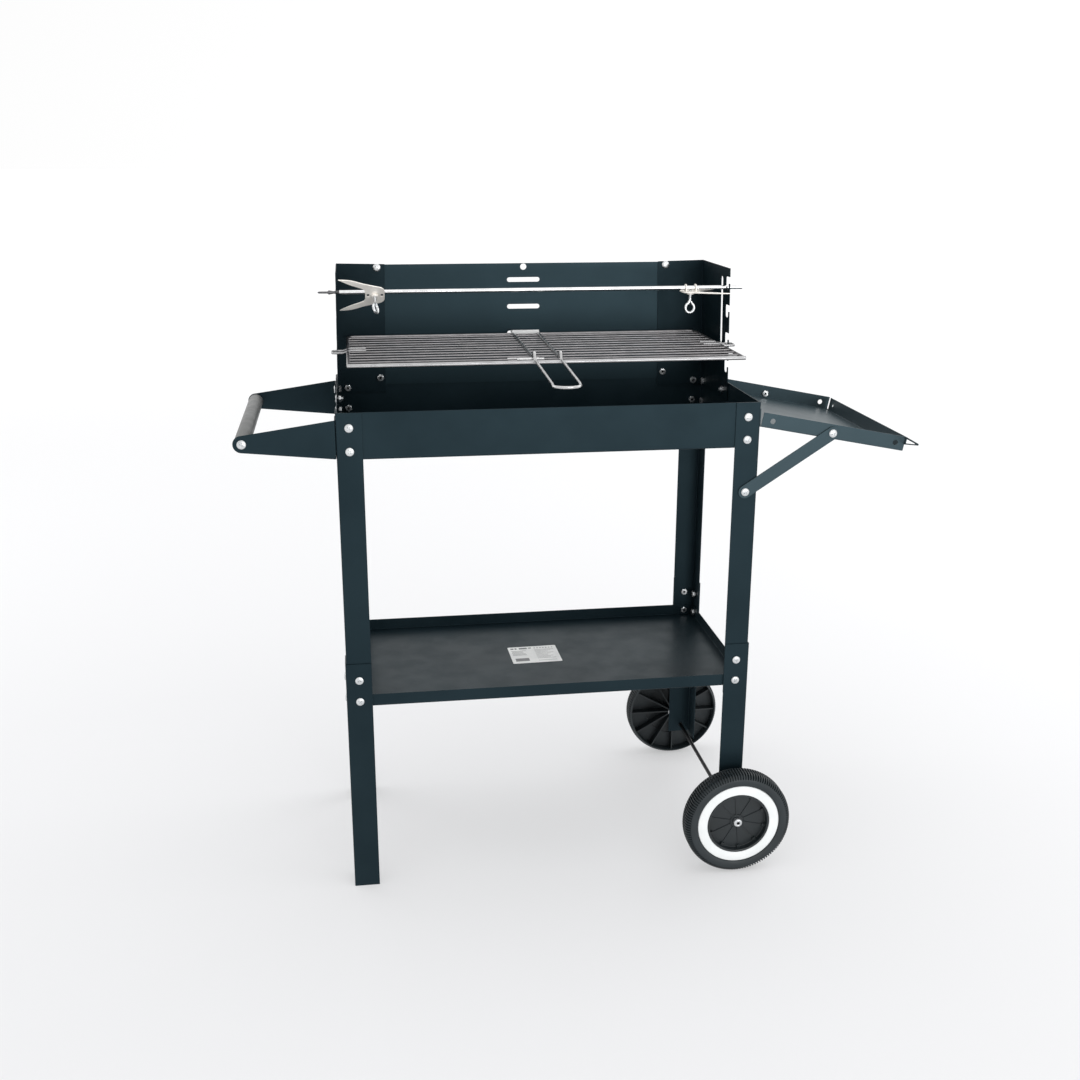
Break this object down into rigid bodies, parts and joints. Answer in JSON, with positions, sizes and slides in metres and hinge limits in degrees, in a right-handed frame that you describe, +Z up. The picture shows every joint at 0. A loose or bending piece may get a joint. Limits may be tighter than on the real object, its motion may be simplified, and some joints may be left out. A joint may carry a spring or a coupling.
{
  "type": "charcoal rotisserie roaster",
  "caption": "Trolley charcoal roaster: sheet-metal fire box on legs and wheels, windshield with notches for a turning spit and a grate, side tray, shelf and carrying handle.",
  "frame": {"origin": "on the floor, under the middle of the object's bounding box", "axes": "+X to the wheel and side-tray end, +Y to the back, where the windshield stands, +Z up"},
  "size_m": [0.9618, 0.507, 0.9049],
  "materials": {
    "black_paint": "satin black powder paint on thin sheet, with a fine grain",
    "black_grip": "matt black round grip",
    "wheel_plastic": "moulded black plastic with tread ribs",
    "white_ring": "white plastic trim ring",
    "chrome": "chrome-plated wire and stampings",
    "zinc": "bright zinc-plated fasteners",
    "dark_steel": "blackened steel rod"
  },
  "bodies": {
    "frame": {"upper_leg_front_left": "black_paint", "lower_leg_front_left": "black_paint", "upper_leg_front_right": "black_paint", "lower_leg_front_right": "black_paint", "upper_leg_rear_left": "black_paint", "lower_leg_rear_left": "black_paint", "upper_leg_rear_right": "black_paint", "lower_leg_rear_right": "black_paint", "firebox": "black_paint", "lower_shelf": "black_paint", "windshield_back": "black_paint", "windshield_left": "black_paint", "windshield_right": "black_paint", "handle_bracket_front": "black_paint", "handle_bracket_rear": "black_paint", "handle_grip": "black_grip", "handle_screw_front": "zinc", "handle_screw_rear": "zinc", "side_tray": "black_paint", "tray_brace_front": "black_paint", "tray_brace_rear": "black_paint", "axle": "dark_steel", "axle_cap_front": "zinc", "axle_cap_rear": "zinc", "bolt_box_upper_front_left": "zinc", "bolt_box_lower_front_left": "zinc", "bolt_shin_upper_front_left": "zinc", "bolt_shin_lower_front_left": "zinc", "bolt_box_upper_front_right": "zinc", "bolt_box_lower_front_right": "zinc", "bolt_shin_upper_front_right": "zinc", "bolt_shin_lower_front_right": "zinc", "bolt_box_upper_rear_left": "zinc", "bolt_box_lower_rear_left": "zinc", "bolt_shin_upper_rear_left": "zinc", "bolt_shin_lower_rear_left": "zinc", "bolt_box_upper_rear_right": "zinc", "bolt_box_lower_rear_right": "zinc", "bolt_shin_upper_rear_right": "zinc", "bolt_shin_lower_rear_right": "zinc", "bolt_brace_leg_front": "zinc", "bolt_brace_tray_front": "zinc", "bolt_handle_front": "zinc", "bolt_brace_leg_rear": "zinc", "bolt_brace_tray_rear": "zinc", "bolt_handle_rear": "zinc", "bolt_shield_top_left": "zinc", "bolt_shield_bottom_left": "zinc", "bolt_shield_top_right": "zinc", "bolt_shield_bottom_right": "zinc"},
    "wheel_front": {"wheel_front": "wheel_plastic", "wheel_ring_front": "white_ring"},
    "wheel_rear": {"wheel_rear": "wheel_plastic", "wheel_ring_rear": "white_ring"},
    "spit": {"spit_rod": "chrome"},
    "fork_left": {"fork_left": "chrome"},
    "fork_right": {"fork_right": "chrome"},
    "eye_screw_left": {"fork_screw_left": "zinc"},
    "eye_screw_right": {"fork_screw_right": "zinc"},
    "grate": {"grate": "chrome"}
  },
  "joints": [
    {"name": "wheel_front_spin", "type": "hinge", "parent": "frame", "child": "wheel_front", "pos_m": [0.24359, -0.1755, 0.083], "axis": [0, 1, 0], "continuous": true},
    {"name": "wheel_rear_spin", "type": "hinge", "parent": "frame", "child": "wheel_rear", "pos_m": [0.24359, 0.2365, 0.083], "axis": [0, 1, 0], "continuous": true},
    {"name": "spit_spin", "type": "hinge", "parent": "frame", "child": "spit", "pos_m": [-0.04241, 0.0205, 0.876], "axis": [1, 0, 0], "continuous": true},
    {"name": "fork_left_slide", "type": "slide", "parent": "spit", "child": "fork_left", "axis": [1, 0, 0], "range_m": [0, 0.18]},
    {"name": "fork_right_slide", "type": "slide", "parent": "spit", "child": "fork_right", "axis": [1, 0, 0], "range_m": [-0.18, 0]},
    {"name": "eye_screw_left_turn", "type": "hinge", "parent": "fork_left", "child": "eye_screw_left", "pos_m": [-0.27941, 0.0205, 0.876], "axis": [0, 0.7071, 0.7071], "range_deg": [0, 450]},
    {"name": "eye_screw_right_turn", "type": "hinge", "parent": "fork_right", "child": "eye_screw_right", "pos_m": [0.19259, 0.0205, 0.876], "axis": [0, 0, 1], "range_deg": [0, 450]},
    {"name": "grate_tilt", "type": "hinge", "parent": "frame", "child": "grate", "pos_m": [-0.04241, 0.1622, 0.79485], "axis": [-1, 0, 0], "range_deg": [0, 5.5]}
  ]
}
